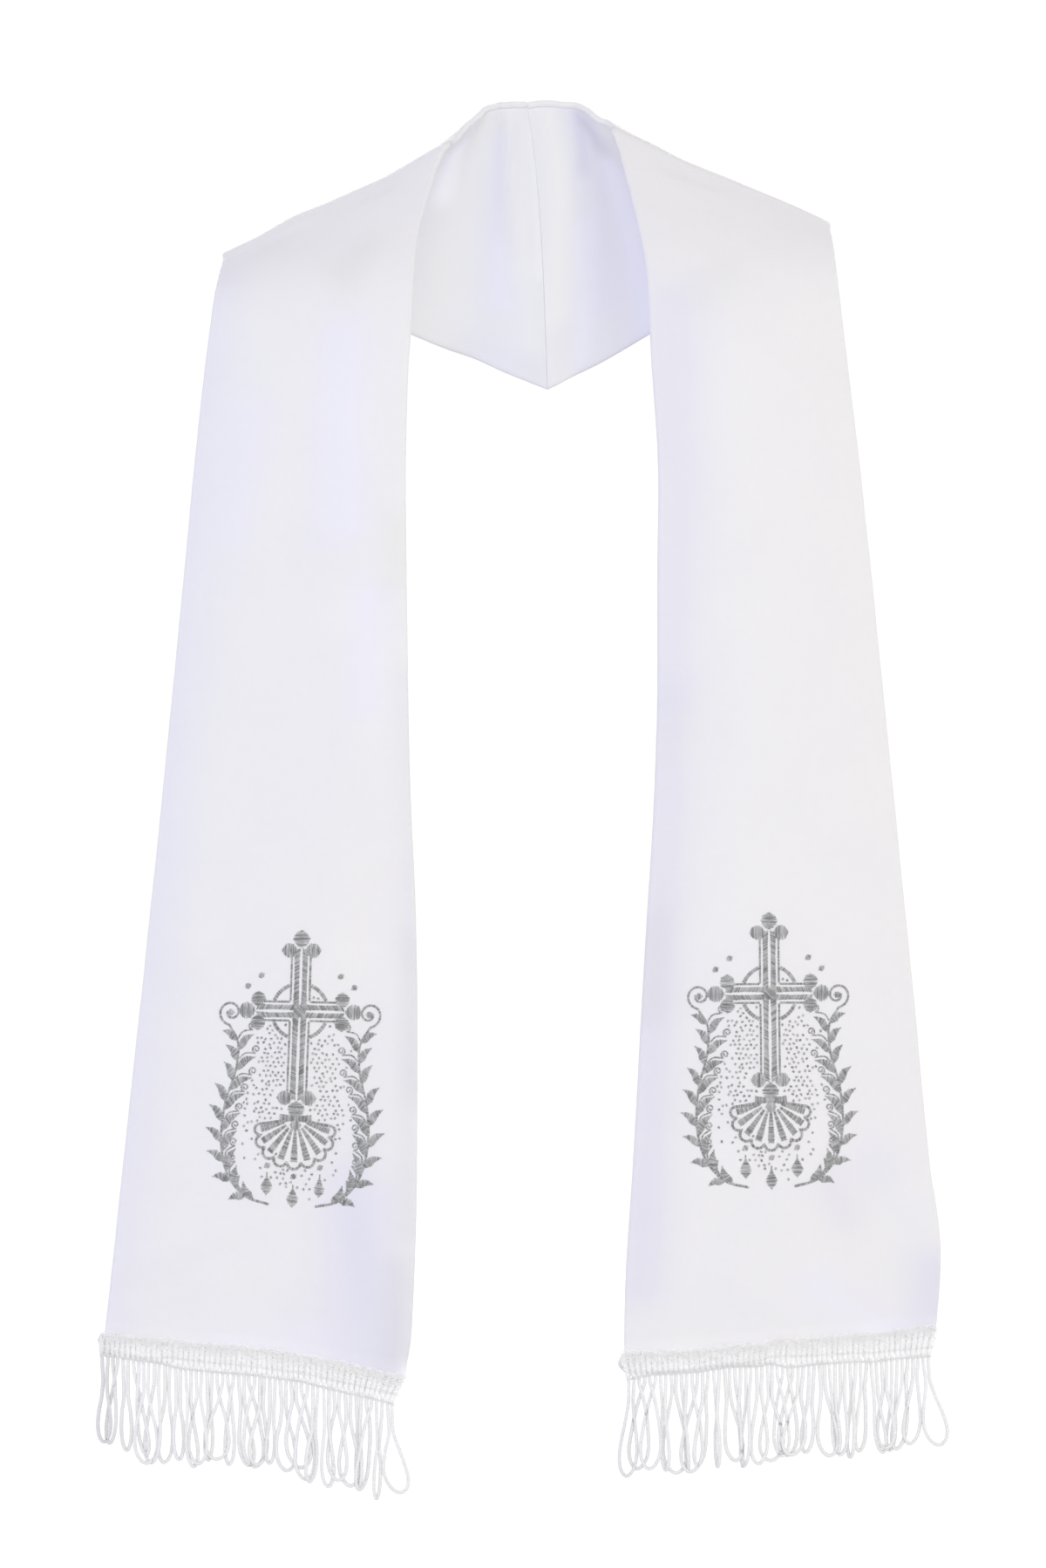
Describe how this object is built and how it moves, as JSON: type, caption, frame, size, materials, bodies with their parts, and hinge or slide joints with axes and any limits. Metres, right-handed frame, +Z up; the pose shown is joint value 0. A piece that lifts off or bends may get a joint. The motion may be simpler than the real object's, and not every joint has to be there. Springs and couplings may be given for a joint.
{
  "type": "baptism stole",
  "caption": "Lined white satin stole worn round the neck, with a mitred seam behind it, widening fronts with silver embroidery, and loop fringe on a braided heading at each hem.",
  "frame": {"origin": "in the middle of the neck opening, where the stole's neck edge lies on the wearer's shoulders", "axes": "+Z up, the fronts face -Y, the nape seam is at +Y, and the half on the left of a viewer in front is at -X"},
  "size_m": [0.3163, 0.1445, 0.5263],
  "materials": {
    "satin": "white polyester satin with a soft sheen",
    "lining": "white satin lining",
    "fringe_braid": "chain-stitched white braid with looped upper edge",
    "fringe_cord": "white chainette cord",
    "silver_thread": "silver metallic embroidery thread"
  },
  "bodies": {
    "root": {"left_face": "satin", "right_face": "satin", "left_lining": "lining", "right_lining": "lining", "left_fringe_heading": "fringe_braid", "right_fringe_heading": "fringe_braid", "left_fringe_loops": "fringe_cord", "right_fringe_loops": "fringe_cord"}
  },
  "joints": []
}
